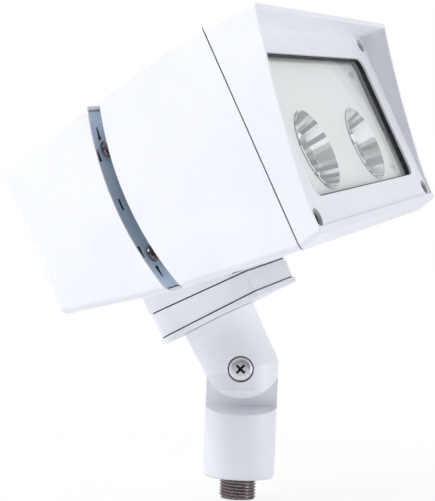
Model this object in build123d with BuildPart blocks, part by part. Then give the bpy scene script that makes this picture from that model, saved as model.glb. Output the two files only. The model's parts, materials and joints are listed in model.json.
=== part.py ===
"""LED floodlight on a tilting and swivelling knuckle, with a separate driver compartment.

The origin is on the knuckle's axis, at the shoulder of the threaded nipple, and +Z is up.
The lamp shines towards -Y. It rests as it is usually aimed: arm leaning back, head turned aside.
"""
import os
from math import cos, radians, sin

from build123d import *

# Sizes are in millimetres and angles in degrees.

# Knuckle and arm
knuckle_radius = 21
pivot_height = 63.7
scoop_level = 41.7
scoop_slope = 0.214
lap_gap = 0.3
arm_tilt = 28.5
arm_length = 32
arm_top_radius = 22.3
lobe_radius = 24
lobe_rise = 7
lobe_drop = 17.2
lobe_bevel = 4.8
wire_bore_radius = 7.5

# Nipple, half-inch pipe thread
nipple_radius = 10.48
nipple_seat_radius = 9.9
nipple_length = 12.4
thread_pitch = 1.814

# Swivel between the arm and the head
head_swivel = 21.5
wedge_angle = 2.6
swivel_radius = 10
swivel_play = 0.05
plate_thickness = 3
gasket_thickness = 0.8
block_half_width = 31
block_front = 65.3
block_rear = 137.3
block_top = -55.5
axis_behind_seam = 107.4
axis_drop = 68.8

# Head
half_width = 111
wall = 3
seam_top = 58.5
seam_bottom = -60.3
bottom_rounding = 4
arc_centre = -85
led_arc_radius = 160
gap_arc_radius = 167.5
cover_lip = 1.3
rear_wall = 137

# Door
door_depth_top = 29
door_depth_middle = 18.3
door_depth_bottom = 12.4
face_depth = 11.5
hood_wall = 2.5
window_width = 182
window_height = 79
window_middle = 0.65
window_corner = 6.5
door_screw_x = 102
door_screw_top = 49.6
door_screw_bottom = -48.5
door_screw_seat = 8.3

# Light engine
reflector_x = 43
reflector_z = -13
rim_depth = 6.2

os.makedirs("parts", exist_ok=True)

# Planes. pivot_side looks along X through the pivot, with Y across and Z up.
pivot = (0, 0, pivot_height)
pivot_side = Plane(origin=pivot, x_dir=(0, 1, 0), z_dir=(1, 0, 0))
lean = radians(arm_tilt)
arm_level = Plane(origin=pivot, x_dir=(1, 0, 0), z_dir=(0, sin(lean), cos(lean)))
arm_side = Plane(origin=pivot, x_dir=arm_level.y_dir, z_dir=(1, 0, 0))
mitre = Plane(origin=pivot, x_dir=(1, 0, 0), z_dir=(0, sin(lean / 2), cos(lean / 2)))

# plate_level is the underside of the base plate, turned with the head about the arm's axis.
arm_end = arm_level.offset(arm_length + 0.3)
plate_level = Plane(arm_end.location * Location((0, 0, 0), (0, 0, -head_swivel)))
block_level = plate_level.offset(plate_thickness + gasket_thickness)

# In the head, X runs to the lamp's far side, Y to its rear and Z up, from the middle of the seam
# between the door and the housing.
wedge_level = Plane(block_level.location * Location((0, 0, 0), (wedge_angle, 0, 0)))
head_origin = wedge_level.from_local_coords((0, -axis_behind_seam, axis_drop))
head_level = Plane(origin=head_origin, x_dir=wedge_level.x_dir, z_dir=wedge_level.z_dir)
head_side = Plane(origin=head_origin, x_dir=head_level.y_dir, z_dir=head_level.x_dir)
head_front = Plane(origin=head_origin, x_dir=head_level.x_dir, z_dir=-head_level.y_dir)
head_across = Axis(head_origin, head_level.x_dir)
head_back = Axis(head_origin, head_level.y_dir)
head_up = Axis(head_origin, head_level.z_dir)


# Edges that run along a head piece's two sides, picked by the height of their middles
def side_edges(edges, side, low, high):
    chosen = []
    for edge in edges:
        middle = head_level.to_local_coords(edge.center())
        if abs(abs(middle.X) - side) < 0.01 and low < middle.Z < high:
            chosen.append(edge)
    return chosen


# Knuckle base: a cup whose far half goes on up as a round ear
with BuildPart() as knuckle_base:
    with BuildSketch():
        Circle(knuckle_radius)
    extrude(amount=pivot_height + knuckle_radius)
    fillet(knuckle_base.edges().filter_by(GeomType.CIRCLE).sort_by(Axis.Z)[0], radius=2.5)
    # Space for the arm's lobe in the near half, its floor falling away to the front
    with BuildSketch(Plane.XZ):
        with BuildLine():
            Polyline(
                (0, scoop_level), (-30, scoop_level - 30 * scoop_slope), (-30, 100), (0, 100), close=True
            )
        make_face()
    extrude(amount=30, both=True, mode=Mode.SUBTRACT)
    # Round top of the ear
    with BuildSketch(pivot_side):
        with Locations((0, 30)):
            Rectangle(60, 60)
        Circle(knuckle_radius, mode=Mode.SUBTRACT)
    extrude(amount=30, mode=Mode.SUBTRACT)
    # Socket for the nipple, wire chamber and the passage up into the ear
    with BuildSketch():
        Circle(nipple_seat_radius)
    extrude(amount=8, mode=Mode.SUBTRACT)
    with BuildSketch(Plane.XY.offset(8)):
        Circle(wire_bore_radius)
    extrude(amount=4, mode=Mode.SUBTRACT)
    with BuildSketch(Plane.XY.offset(12)):
        Circle(13)
    extrude(amount=17, mode=Mode.SUBTRACT)
    with BuildSketch(Plane.XY.offset(29)):
        with Locations((6.5, 0)):
            Circle(4.5)
    extrude(amount=25.2, mode=Mode.SUBTRACT)
    # Ring-shaped wireway, seal groove, screw bore and nut pocket about the pivot
    with BuildSketch(pivot_side):
        Circle(12.6)
        Circle(7, mode=Mode.SUBTRACT)
    extrude(amount=8, mode=Mode.SUBTRACT)
    with BuildSketch(pivot_side):
        Circle(16.5)
        Circle(14.1, mode=Mode.SUBTRACT)
    extrude(amount=1.95, mode=Mode.SUBTRACT)
    with BuildSketch(pivot_side):
        Circle(4.05)
    extrude(amount=30, mode=Mode.SUBTRACT)
    with BuildSketch(pivot_side.offset(13.5)):
        RegularPolygon(7.7, 6)
    extrude(amount=10, mode=Mode.SUBTRACT)
knuckle_base.part.label = "knuckle_base"
export_step(knuckle_base.part, "parts/knuckle_base.step")

# Threaded nipple: a steel tube with ring-shaped thread grooves
groove_half = 0.5
groove_depth = 0.75
with BuildPart() as threaded_nipple:
    with BuildSketch():
        Circle(nipple_seat_radius)
        Circle(wire_bore_radius, mode=Mode.SUBTRACT)
    extrude(amount=7.9)
    with BuildSketch():
        Circle(nipple_radius)
        Circle(wire_bore_radius, mode=Mode.SUBTRACT)
    extrude(amount=-nipple_length)
    chamfer(
        threaded_nipple.edges().filter_by(GeomType.CIRCLE).group_by(Axis.Z)[0].sort_by(SortBy.RADIUS)[-1],
        length=0.8,
    )
    with BuildSketch(Plane.XZ) as thread_grooves:
        for turn in range(6):
            groove_z = -1.6 - turn * thread_pitch
            with BuildLine():
                Polyline(
                    (nipple_radius + 0.3, groove_z - groove_half),
                    (nipple_radius + 0.3, groove_z + groove_half),
                    (nipple_radius, groove_z + groove_half),
                    (nipple_radius - groove_depth, groove_z + 0.1),
                    (nipple_radius - groove_depth, groove_z - 0.1),
                    (nipple_radius, groove_z - groove_half),
                    close=True,
                )
            make_face()
    revolve(axis=Axis.Z, mode=Mode.SUBTRACT)
threaded_nipple.part.label = "threaded_nipple"
export_step(threaded_nipple.part, "parts/threaded_nipple.step")

# Tilt screw: pan head in the lobe's counterbore, shank through both halves
with BuildPart() as tilt_screw:
    with BuildSketch(pivot_side.offset(-17.85)):
        Circle(4)
    extrude(amount=37)
    with BuildSketch(pivot_side.offset(-17.85)):
        Circle(6.9)
    extrude(amount=-4)
    fillet(tilt_screw.faces().sort_by(Axis.X)[0].edges(), radius=1.8)
    with BuildSketch(pivot_side.offset(-21.9)):
        Rectangle(6.6, 1.7, rotation=20)
        Rectangle(1.7, 6.6, rotation=20)
    extrude(amount=2.4, mode=Mode.SUBTRACT)
tilt_screw.part.label = "tilt_screw"
export_step(tilt_screw.part, "parts/tilt_screw.step")

with BuildPart() as tilt_lock_washer:
    with BuildSketch(pivot_side.offset(-17.8)):
        Circle(6.6)
        Circle(4.2, mode=Mode.SUBTRACT)
        with Locations((0, 6)):
            Rectangle(0.8, 6, mode=Mode.SUBTRACT)
    extrude(amount=1.2)
tilt_lock_washer.part.label = "tilt_lock_washer"
export_step(tilt_lock_washer.part, "parts/tilt_lock_washer.step")

with BuildPart() as tilt_nut:
    with BuildSketch(pivot_side.offset(13.6)):
        RegularPolygon(7.5, 6)
        Circle(4.05, mode=Mode.SUBTRACT)
    extrude(amount=5.6)
tilt_nut.part.label = "tilt_nut"
export_step(tilt_nut.part, "parts/tilt_nut.step")

with BuildPart() as lap_o_ring:
    with BuildSketch(Plane(origin=pivot, x_dir=(1, 0, 0), z_dir=(0, 1, 0))):
        with Locations((0.9, 15.3)):
            Circle(1)
    revolve(axis=Axis(pivot, (1, 0, 0)))
lap_o_ring.part.label = "lap_o_ring"
export_step(lap_o_ring.part, "parts/lap_o_ring.step")

# Lower lobe of the arm, flush with the cup, bevelled underneath
with BuildPart() as arm_foot:
    with BuildSketch(Plane.XY.offset(pivot_height - lobe_drop)):
        Circle(knuckle_radius)
    extrude(amount=lobe_drop + knuckle_radius)
    chamfer(arm_foot.edges().filter_by(GeomType.CIRCLE).sort_by(Axis.Z)[0], length=lobe_bevel)
    with BuildSketch(pivot_side.offset(-knuckle_radius)):
        with Locations((0, lobe_rise)):
            Circle(lobe_radius)
        with Locations((0, lobe_rise + 20)):
            Rectangle(2 * lobe_radius, 40)
    extrude(amount=2 * knuckle_radius, mode=Mode.INTERSECT)
    with BuildSketch(mitre):
        Rectangle(90, 90)
    extrude(amount=50, mode=Mode.SUBTRACT)
    with BuildSketch(pivot_side.offset(-lap_gap)):
        Rectangle(90, 90)
    extrude(amount=30, mode=Mode.SUBTRACT)

# Swivel arm: the lobe, then a bar that leans back and widens towards the swivel
with BuildPart() as swivel_arm:
    with BuildSketch(arm_level.offset(-16)):
        Circle(knuckle_radius - 0.6)
    with BuildSketch(arm_level.offset(arm_length)):
        Circle(arm_top_radius)
    loft()
    with BuildSketch(mitre):
        Rectangle(90, 90)
    extrude(amount=-50, mode=Mode.SUBTRACT)
    add(arm_foot.part)
    # The far half stops above the ear
    with BuildSketch(arm_side.offset(-lap_gap)):
        with Locations((0, -19)):
            Rectangle(90, 82)
    extrude(amount=40, mode=Mode.SUBTRACT)
    # Counterbore, screw bore and ring-shaped wireway
    with BuildSketch(pivot_side.offset(-30)):
        Circle(7.6)
    extrude(amount=13.4, mode=Mode.SUBTRACT)
    with BuildSketch(pivot_side.offset(-30)):
        Circle(4.05)
    extrude(amount=30, mode=Mode.SUBTRACT)
    with BuildSketch(pivot_side.offset(-lap_gap)):
        Circle(12.6)
        Circle(7, mode=Mode.SUBTRACT)
    extrude(amount=-8, mode=Mode.SUBTRACT)
    # Passage up to the swivel, socket for the stub and seal groove
    with BuildSketch(arm_level.offset(9)):
        with Locations((-7, 0)):
            Circle(4.5)
    extrude(amount=14, mode=Mode.SUBTRACT)
    with BuildSketch(arm_level.offset(23)):
        Circle(swivel_radius)
    extrude(amount=12, mode=Mode.SUBTRACT)
    with BuildSketch(arm_level.offset(arm_length)):
        Circle(15.4)
        Circle(12.6, mode=Mode.SUBTRACT)
    extrude(amount=-2.2, mode=Mode.SUBTRACT)
swivel_arm.part.label = "swivel_arm"
export_step(swivel_arm.part, "parts/swivel_arm.step")

with BuildPart() as swivel_o_ring:
    with BuildSketch(Plane(origin=pivot, x_dir=(1, 0, 0), z_dir=-arm_level.y_dir)):
        with Locations((14, arm_length - 1)):
            Circle(1.15)
    revolve(axis=Axis(pivot, arm_level.z_dir))
swivel_o_ring.part.label = "swivel_o_ring"
export_step(swivel_o_ring.part, "parts/swivel_o_ring.step")

# Hollow swivel stub with its washer and locknut inside the block
with BuildPart() as swivel_stub:
    with BuildSketch(arm_level.offset(23.1)):
        Circle(swivel_radius)
        Circle(wire_bore_radius, mode=Mode.SUBTRACT)
    extrude(amount=24.4)
swivel_stub.part.label = "swivel_stub"
export_step(swivel_stub.part, "parts/swivel_stub.step")

block_floor = arm_length + 0.3 + plate_thickness + gasket_thickness + 4
with BuildPart() as stub_washer:
    with BuildSketch(arm_level.offset(block_floor + 0.1)):
        Circle(17)
        Circle(swivel_radius, mode=Mode.SUBTRACT)
    extrude(amount=1.2)
stub_washer.part.label = "stub_washer"
export_step(stub_washer.part, "parts/stub_washer.step")

with BuildPart() as stub_locknut:
    with BuildSketch(arm_level.offset(block_floor + 1.3)):
        RegularPolygon(15, 6)
        Circle(swivel_radius, mode=Mode.SUBTRACT)
    extrude(amount=4)
stub_locknut.part.label = "stub_locknut"
export_step(stub_locknut.part, "parts/stub_locknut.step")

# Base plate and gasket, clamped between the arm and the wedge block
plate_front = block_front - axis_behind_seam - 1
plate_back = block_rear - axis_behind_seam + 1.2
plate_screw_places = [(-26, -35), (26, -35), (-25, 19), (25, 19)]
with BuildPart() as base_plate:
    with BuildSketch(plate_level) as plate_outline:
        with Locations((0, (plate_front + plate_back) / 2)):
            Rectangle(2 * block_half_width + 2, plate_back - plate_front)
        fillet(plate_outline.vertices().group_by(Axis.Y)[-1], radius=18)
        fillet(plate_outline.vertices().group_by(Axis.Y)[0], radius=2)
        Circle(swivel_radius + swivel_play, mode=Mode.SUBTRACT)
        with Locations(*plate_screw_places):
            Circle(2.2, mode=Mode.SUBTRACT)
    extrude(amount=plate_thickness)
    # Countersinks
    with BuildSketch(plate_level):
        with Locations(*plate_screw_places):
            Circle(4.3)
    extrude(amount=2, taper=45, mode=Mode.SUBTRACT)
base_plate.part.label = "base_plate"
export_step(base_plate.part, "parts/base_plate.step")

with BuildPart() as base_plate_gasket:
    with BuildSketch(plate_level.offset(plate_thickness)) as gasket_outline:
        with Locations((0, (plate_front + plate_back) / 2)):
            Rectangle(2 * block_half_width - 1, plate_back - plate_front - 2.5)
        fillet(gasket_outline.vertices().group_by(Axis.Y)[-1], radius=17)
        fillet(gasket_outline.vertices().group_by(Axis.Y)[0], radius=1.5)
        Circle(12, mode=Mode.SUBTRACT)
        with Locations(*plate_screw_places):
            Circle(2.4, mode=Mode.SUBTRACT)
    extrude(amount=gasket_thickness)
base_plate_gasket.part.label = "base_plate_gasket"
export_step(base_plate_gasket.part, "parts/base_plate_gasket.step")

with BuildPart() as base_plate_screws:
    with BuildSketch(plate_level.offset(0.1)):
        with Locations(*plate_screw_places):
            Circle(4.1)
    extrude(amount=1.9, taper=45)
    with BuildSketch(plate_level.offset(0.1)):
        with Locations(*plate_screw_places):
            Circle(1.8)
    extrude(amount=9.4)
    with BuildSketch(plate_level.offset(0.1)):
        with Locations(*plate_screw_places):
            Rectangle(4, 0.9)
            Rectangle(0.9, 4)
    extrude(amount=1.1, mode=Mode.SUBTRACT)
base_plate_screws.part.label = "base_plate_screws"
export_step(base_plate_screws.part, "parts/base_plate_screws.step")

# Wedge block: level with the head on top, square to the arm below
pedestal_screw_places = [(-26, 92), (26, 92), (-22, 128), (22, 128)]
pedestal_seat = -48
with BuildPart() as swivel_base:
    with BuildSketch(head_level.offset(block_top)) as block_outline:
        with Locations((0, (block_front + block_rear) / 2)):
            Rectangle(2 * block_half_width, block_rear - block_front)
        fillet(block_outline.vertices().group_by(Axis.Y)[-1], radius=17)
        fillet(block_outline.vertices().group_by(Axis.Y)[0], radius=1.5)
    extrude(amount=-25)
    with BuildSketch(block_level):
        Rectangle(150, 150)
    extrude(amount=-30, mode=Mode.SUBTRACT)
    with BuildSketch(block_level.offset(4)):
        Circle(23)
    extrude(amount=20, mode=Mode.SUBTRACT)
    with BuildSketch(block_level.offset(-1)):
        Circle(swivel_radius + swivel_play)
    extrude(amount=8, mode=Mode.SUBTRACT)
    with BuildSketch(block_level):
        with Locations(*plate_screw_places):
            Circle(1.8)
    extrude(amount=6.5, mode=Mode.SUBTRACT)
    with BuildSketch(head_level.offset(block_top)):
        with Locations(*pedestal_screw_places):
            Circle(1.8)
    extrude(amount=-7, mode=Mode.SUBTRACT)
swivel_base.part.label = "swivel_base"
export_step(swivel_base.part, "parts/swivel_base.step")

with BuildPart() as swivel_base_gasket:
    with BuildSketch(head_level.offset(block_top)) as upper_gasket_outline:
        with Locations((0, (block_front + block_rear) / 2)):
            Rectangle(2 * block_half_width - 1.6, block_rear - block_front - 1.6)
        fillet(upper_gasket_outline.vertices().group_by(Axis.Y)[-1], radius=16)
        fillet(upper_gasket_outline.vertices().group_by(Axis.Y)[0], radius=1)
        with Locations((0, axis_behind_seam)):
            Circle(23, mode=Mode.SUBTRACT)
        with Locations(*pedestal_screw_places):
            Circle(2, mode=Mode.SUBTRACT)
    extrude(amount=gasket_thickness)
swivel_base_gasket.part.label = "swivel_base_gasket"
export_step(swivel_base_gasket.part, "parts/swivel_base_gasket.step")

# Driver housing: rear shell, open in front along the arc, on a pedestal
pedestal_bottom = block_top + gasket_thickness
cover_screw_places = [(-98.5, -29.4), (98.5, -29.4), (-98.5, 29.4), (98.5, 29.4)]

# Recess in the housing's front for the cover and its gasket
with BuildPart() as cover_recess:
    with BuildSketch(head_side.offset(-(half_width - cover_lip))):
        with BuildLine():
            Polyline((60, 51.9), (90, 48.1), (90, -47.4), (60, -52.65), close=True)
        make_face()
        with Locations((arc_centre, 0)):
            Circle(gap_arc_radius + 5.2, mode=Mode.INTERSECT)
    extrude(amount=2 * (half_width - cover_lip))
    recess_bottom = side_edges(cover_recess.edges(), half_width - cover_lip, -70, -40)
    fillet(recess_bottom, radius=bottom_rounding - cover_lip)

with BuildPart() as driver_housing:
    with BuildSketch(head_side.offset(-half_width)):
        with BuildLine():
            Polyline(
                (60, 53.2),
                (70, 51.9),
                (rear_wall, 43.5),
                (rear_wall, -39.1),
                (94.2, -48),
                (65, -53.1),
                (60, -53.6),
                close=True,
            )
        make_face()
        with Locations((arc_centre, 0)):
            Circle(gap_arc_radius, mode=Mode.SUBTRACT)
    extrude(amount=2 * half_width)
    fillet(side_edges(driver_housing.edges(), half_width, -70, -40), radius=bottom_rounding)
    fillet(side_edges(driver_housing.edges(), half_width, 45, 70), radius=2)
    fillet(driver_housing.faces().sort_by(head_back)[-1].edges(), radius=2)
    # Pedestal: full footprint low down, and only behind the air gap higher up
    with BuildSketch(head_level.offset(pedestal_bottom)) as pedestal_outline:
        with Locations((0, (block_front + block_rear + 1.6) / 2)):
            Rectangle(2 * block_half_width, block_rear + 1.6 - block_front)
        fillet(pedestal_outline.vertices().group_by(Axis.Y)[-1], radius=17)
        fillet(pedestal_outline.vertices().group_by(Axis.Y)[0], radius=1.5)
    extrude(amount=1.1)
    with BuildSketch(head_level.offset(pedestal_bottom)) as pedestal_upper:
        with Locations((0, (73.6 + block_rear + 1.6) / 2)):
            Rectangle(2 * block_half_width, block_rear + 1.6 - 73.6)
        fillet(pedestal_upper.vertices().group_by(Axis.Y)[-1], radius=17)
    extrude(amount=14)
    # Hollow: recess for the cover, throat through the ledge, then the compartment
    add(cover_recess.part, mode=Mode.SUBTRACT)
    inner = half_width - wall
    with BuildSketch(head_side.offset(-inner)):
        with BuildLine():
            Polyline(
                (60, 50.2),
                (70, 48.9),
                (rear_wall - wall, 40.9),
                (rear_wall - wall, -36.6),
                (94.2, -45),
                (70, -49.2),
                (60, -50.5),
                close=True,
            )
        make_face()
        with Locations((arc_centre, 0)):
            Circle(gap_arc_radius + 8.2, mode=Mode.SUBTRACT)
    extrude(amount=2 * inner, mode=Mode.SUBTRACT)
    with BuildSketch(head_front.offset(-60)):
        RectangleRounded(2 * inner - 10, 85, 3)
    extrude(amount=-40, mode=Mode.SUBTRACT)
    # Posts for the cover screws, pads for the driver, and holes in the pedestal
    with BuildSketch(head_front.offset(-(rear_wall - 1))):
        with Locations(*cover_screw_places):
            Circle(5.5)
    extrude(amount=rear_wall - 1 - 86.2)
    with BuildSketch(head_front.offset(-84.5)):
        with Locations(*cover_screw_places):
            Circle(2)
    extrude(amount=-16, mode=Mode.SUBTRACT)
    driver_pad_places = [(-79, 13), (49, 13)]
    with BuildSketch(head_front.offset(-(rear_wall - 1))):
        with Locations(*driver_pad_places):
            Circle(4.5)
    extrude(amount=5)
    with BuildSketch(head_front.offset(-130)):
        with Locations(*driver_pad_places):
            Circle(1.6)
    extrude(amount=-5, mode=Mode.SUBTRACT)
    with BuildSketch(head_level.offset(pedestal_bottom - 1)):
        with Locations((0, axis_behind_seam)):
            Circle(9)
        with Locations(*pedestal_screw_places):
            Circle(1.9)
    extrude(amount=25, mode=Mode.SUBTRACT)
    with BuildSketch(head_level.offset(pedestal_seat)):
        with Locations(*pedestal_screw_places):
            Circle(4)
    extrude(amount=14, mode=Mode.SUBTRACT)
driver_housing.part.label = "driver_housing"
export_step(driver_housing.part, "parts/driver_housing.step")

# Screws down through the pedestal into the wedge block
with BuildPart() as swivel_base_screws:
    with BuildSketch(head_level.offset(block_top - 6.5)):
        with Locations(*pedestal_screw_places):
            Circle(1.75)
    extrude(amount=pedestal_seat - block_top + 6.5)
    with BuildSketch(head_level.offset(pedestal_seat)):
        with Locations(*pedestal_screw_places):
            Circle(3.5)
    extrude(amount=2.6)
    with BuildSketch(head_level.offset(pedestal_seat + 2.6)):
        with Locations(*pedestal_screw_places):
            Rectangle(4, 0.9)
            Rectangle(0.9, 4)
    extrude(amount=-1.4, mode=Mode.SUBTRACT)
swivel_base_screws.part.label = "swivel_base_screws"
export_step(swivel_base_screws.part, "parts/swivel_base_screws.step")

# Driver cover: a plate curved along the air gap, with short slots and four screws
cover_half = half_width - cover_lip - 0.2
cover_front = gap_arc_radius + 1.2
cover_back = cover_front + 2.5
slot_places = [(101, -39.5), (106.2, -27), (101.5, 0.1), (106.4, 27.1), (101.5, 38.2)]
with BuildPart() as driver_cover:
    with BuildSketch(head_side.offset(-half_width)):
        with Locations((80, 0.05)):
            Rectangle(40, 106)
        with Locations((arc_centre, 0)):
            Circle(cover_back, mode=Mode.INTERSECT)
            Circle(cover_front, mode=Mode.SUBTRACT)
    extrude(amount=2 * half_width)
    with BuildSketch(head_front.offset(-60)):
        with Locations((0, 0.05)):
            RectangleRounded(2 * cover_half, 98.4, 3)
    extrude(amount=-40, mode=Mode.INTERSECT)
    for slot_x, slot_z in slot_places:
        slot_y = arc_centre + (cover_front**2 - slot_z**2) ** 0.5
        with BuildSketch(head_front.offset(-slot_y)):
            with Locations((-slot_x, slot_z), (slot_x, slot_z)):
                Rectangle(2.4, 6.6)
        extrude(amount=-1.2, both=True, mode=Mode.SUBTRACT)
    with BuildSketch(head_front.offset(-60)):
        with Locations(*cover_screw_places):
            Circle(2.1)
        Circle(6)
        with Locations((-19, -13), (19, -13), (-19, 13), (19, 13)):
            Circle(2.6)
    extrude(amount=-40, mode=Mode.SUBTRACT)
driver_cover.part.label = "driver_cover"
export_step(driver_cover.part, "parts/driver_cover.step")

with BuildPart() as driver_cover_gasket:
    with BuildSketch(head_side.offset(-half_width)):
        with Locations((80, 0.05)):
            Rectangle(40, 106)
        with Locations((arc_centre, 0)):
            Circle(gap_arc_radius + 5.1, mode=Mode.INTERSECT)
            Circle(cover_back + 0.05, mode=Mode.SUBTRACT)
    extrude(amount=2 * half_width)
    with BuildSketch(head_front.offset(-60)):
        with Locations((0, 0.05)):
            RectangleRounded(2 * cover_half - 0.2, 97.4, 3)
    extrude(amount=-40, mode=Mode.INTERSECT)
    with BuildSketch(head_front.offset(-60)):
        RectangleRounded(2 * inner - 10, 85, 3)
    extrude(amount=-40, mode=Mode.SUBTRACT)
driver_cover_gasket.part.label = "driver_cover_gasket"
export_step(driver_cover_gasket.part, "parts/driver_cover_gasket.step")

with BuildPart() as driver_cover_screws:
    with BuildSketch(head_front.offset(-80.05)):
        with Locations(*cover_screw_places):
            Circle(4.6)
    extrude(amount=2.2)
    fillet(driver_cover_screws.faces().sort_by(head_back)[:4].edges(), radius=1.2)
    with BuildSketch(head_front.offset(-80.05)):
        with Locations(*cover_screw_places):
            Circle(1.9)
    extrude(amount=-16)
    with BuildSketch(head_front.offset(-77.8)):
        with Locations(*cover_screw_places):
            Rectangle(5, 1)
            Rectangle(1, 5)
    extrude(amount=-1.4, mode=Mode.SUBTRACT)
driver_cover_screws.part.label = "driver_cover_screws"
export_step(driver_cover_screws.part, "parts/driver_cover_screws.step")

# Inside the driver compartment
with BuildPart() as driver_module:
    with BuildSketch(head_front.offset(-130.9)):
        with Locations((-15, 13)):
            Rectangle(138, 26)
    extrude(amount=2)
    with BuildSketch(head_front.offset(-130.9)):
        with Locations((-15, 13)):
            Rectangle(114, 42)
    extrude(amount=34)
    with BuildSketch(head_front.offset(-132)):
        with Locations(*driver_pad_places):
            Circle(1.9)
    extrude(amount=5, mode=Mode.SUBTRACT)
driver_module.part.label = "driver_module"
export_step(driver_module.part, "parts/driver_module.step")

with BuildPart() as driver_module_screws:
    with BuildSketch(head_front.offset(-134.5)):
        with Locations(*driver_pad_places):
            Circle(1.55)
    extrude(amount=5.7)
    with BuildSketch(head_front.offset(-128.8)):
        with Locations(*driver_pad_places):
            Circle(3.2)
    extrude(amount=2.2)
driver_module_screws.part.label = "driver_module_screws"
export_step(driver_module_screws.part, "parts/driver_module_screws.step")

with BuildPart() as surge_module:
    with BuildSketch(head_front.offset(-133.9)):
        with Locations((73, 16)):
            RectangleRounded(30, 34, 3)
    extrude(amount=20)
surge_module.part.label = "surge_module"
export_step(surge_module.part, "parts/surge_module.step")

with BuildPart() as terminal_block:
    with BuildSketch(head_front.offset(-133.9)):
        with Locations((66, -22)):
            Rectangle(36, 16)
    extrude(amount=15)
    with BuildSketch(head_front.offset(-118.9)):
        with Locations((55, -22), (66, -22), (77, -22)):
            Circle(3)
    extrude(amount=-9, mode=Mode.SUBTRACT)
terminal_block.part.label = "terminal_block"
export_step(terminal_block.part, "parts/terminal_block.step")

with BuildPart() as ground_screw:
    with BuildSketch(head_front.offset(-133.9)):
        with Locations((-60, -24)):
            RegularPolygon(4.6, 6)
    extrude(amount=4)
ground_screw.part.label = "ground_screw"
export_step(ground_screw.part, "parts/ground_screw.step")

# LED housing: front tray with side cheeks that run back to the gap, and fins between them
seam_gap = 0.35
floor_front = 20
floor_back = 24
post_places = [(-76, -31), (76, -31), (-76, 31), (76, 31)]
door_screw_places = [
    (-door_screw_x, door_screw_top),
    (door_screw_x, door_screw_top),
    (-door_screw_x, door_screw_bottom),
    (door_screw_x, door_screw_bottom),
]
bridge_bolt_places = [(-19, -13), (19, -13), (-19, 13), (19, 13)]
side_points = [
    (seam_gap, seam_top),
    (17, 57.9),
    (70, 51.9),
    (90, 49.2),
    (90, -50.3),
    (seam_gap, seam_bottom),
]
with BuildPart() as led_housing:
    with BuildSketch(head_side.offset(-half_width)):
        with BuildLine():
            Polyline(*side_points, close=True)
        make_face()
        with Locations((arc_centre, 0)):
            Circle(led_arc_radius, mode=Mode.INTERSECT)
    extrude(amount=2 * half_width)
    fillet(side_edges(led_housing.edges(), half_width, -70, -40), radius=bottom_rounding)
    fillet(side_edges(led_housing.edges(), half_width, 45, 70), radius=2)
    # Front tray
    with BuildSketch(head_front):
        with Locations((0, -0.1)):
            RectangleRounded(2 * half_width - 7, 109.6, 3)
    extrude(amount=-floor_front, mode=Mode.SUBTRACT)
    # Open space behind the floor, between the cheeks
    with BuildSketch(head_front.offset(-floor_back)):
        Rectangle(2 * half_width - 7, 140)
    extrude(amount=-70, mode=Mode.SUBTRACT)
    # Cooling fins
    for side in (-1, 1):
        for place in range(6):
            with BuildSketch(head_side.offset(side * (34 + 12.5 * place) - 1.2)):
                with BuildLine():
                    Polyline(
                        (floor_back - 1, 55.5),
                        (70, 50.3),
                        (90, 47.5),
                        (90, -47.5),
                        (65, -51.4),
                        (29, -54.8),
                        (floor_back - 1, -55.2),
                        close=True,
                    )
                make_face()
                with Locations((arc_centre, 0)):
                    Circle(led_arc_radius - 1, mode=Mode.INTERSECT)
            extrude(amount=2.4)
    # Bridge boss that reaches over the gap
    with BuildSketch(head_side.offset(-27)):
        with Locations((60, 0)):
            Rectangle(74, 40)
        with Locations((arc_centre, 0)):
            Circle(gap_arc_radius - 0.2, mode=Mode.INTERSECT)
    extrude(amount=54)
    with BuildSketch(head_front.offset(-(floor_front - 1))):
        Circle(5)
    extrude(amount=-80, mode=Mode.SUBTRACT)
    with BuildSketch(head_front.offset(-50)):
        with Locations(*bridge_bolt_places):
            Circle(2.4)
    extrude(amount=-60, mode=Mode.SUBTRACT)
    # Posts for the door screws and for the reflector tray
    with BuildSketch(head_front.offset(-(floor_front + 1))):
        with Locations(*door_screw_places):
            Circle(6.8)
    extrude(amount=floor_front + 1 - seam_gap)
    with BuildSketch(head_front.offset(-(floor_front + 1))):
        with Locations(*post_places):
            Circle(3)
    extrude(amount=floor_front + 4.75)
    with BuildSketch(head_front.offset(5)):
        with Locations(*door_screw_places):
            Circle(1.7)
    extrude(amount=-19, mode=Mode.SUBTRACT)
    with BuildSketch(head_front.offset(5)):
        with Locations(*post_places):
            Circle(1.3)
    extrude(amount=-15, mode=Mode.SUBTRACT)
led_housing.part.label = "led_housing"
export_step(led_housing.part, "parts/led_housing.step")

with BuildPart() as bridge_gasket:
    with BuildSketch(head_side.offset(-26)):
        with Locations((70, 0)):
            Rectangle(60, 38)
        with Locations((arc_centre, 0)):
            Circle(cover_front - 0.05, mode=Mode.INTERSECT)
            Circle(gap_arc_radius - 0.15, mode=Mode.SUBTRACT)
    extrude(amount=52)
    with BuildSketch(head_front.offset(-60)):
        Circle(6)
        with Locations(*bridge_bolt_places):
            Circle(2.8)
    extrude(amount=-40, mode=Mode.SUBTRACT)
bridge_gasket.part.label = "bridge_gasket"
export_step(bridge_gasket.part, "parts/bridge_gasket.step")

with BuildPart() as bridge_bolts:
    with BuildSketch(head_front.offset(-52)):
        with Locations(*bridge_bolt_places):
            Circle(2.35)
    extrude(amount=-34.3)
    with BuildSketch(head_front.offset(-86.3)):
        with Locations(*bridge_bolt_places):
            RegularPolygon(4.6, 6)
    extrude(amount=-3.5)
bridge_bolts.part.label = "bridge_bolts"
export_step(bridge_bolts.part, "parts/bridge_bolts.step")

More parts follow.
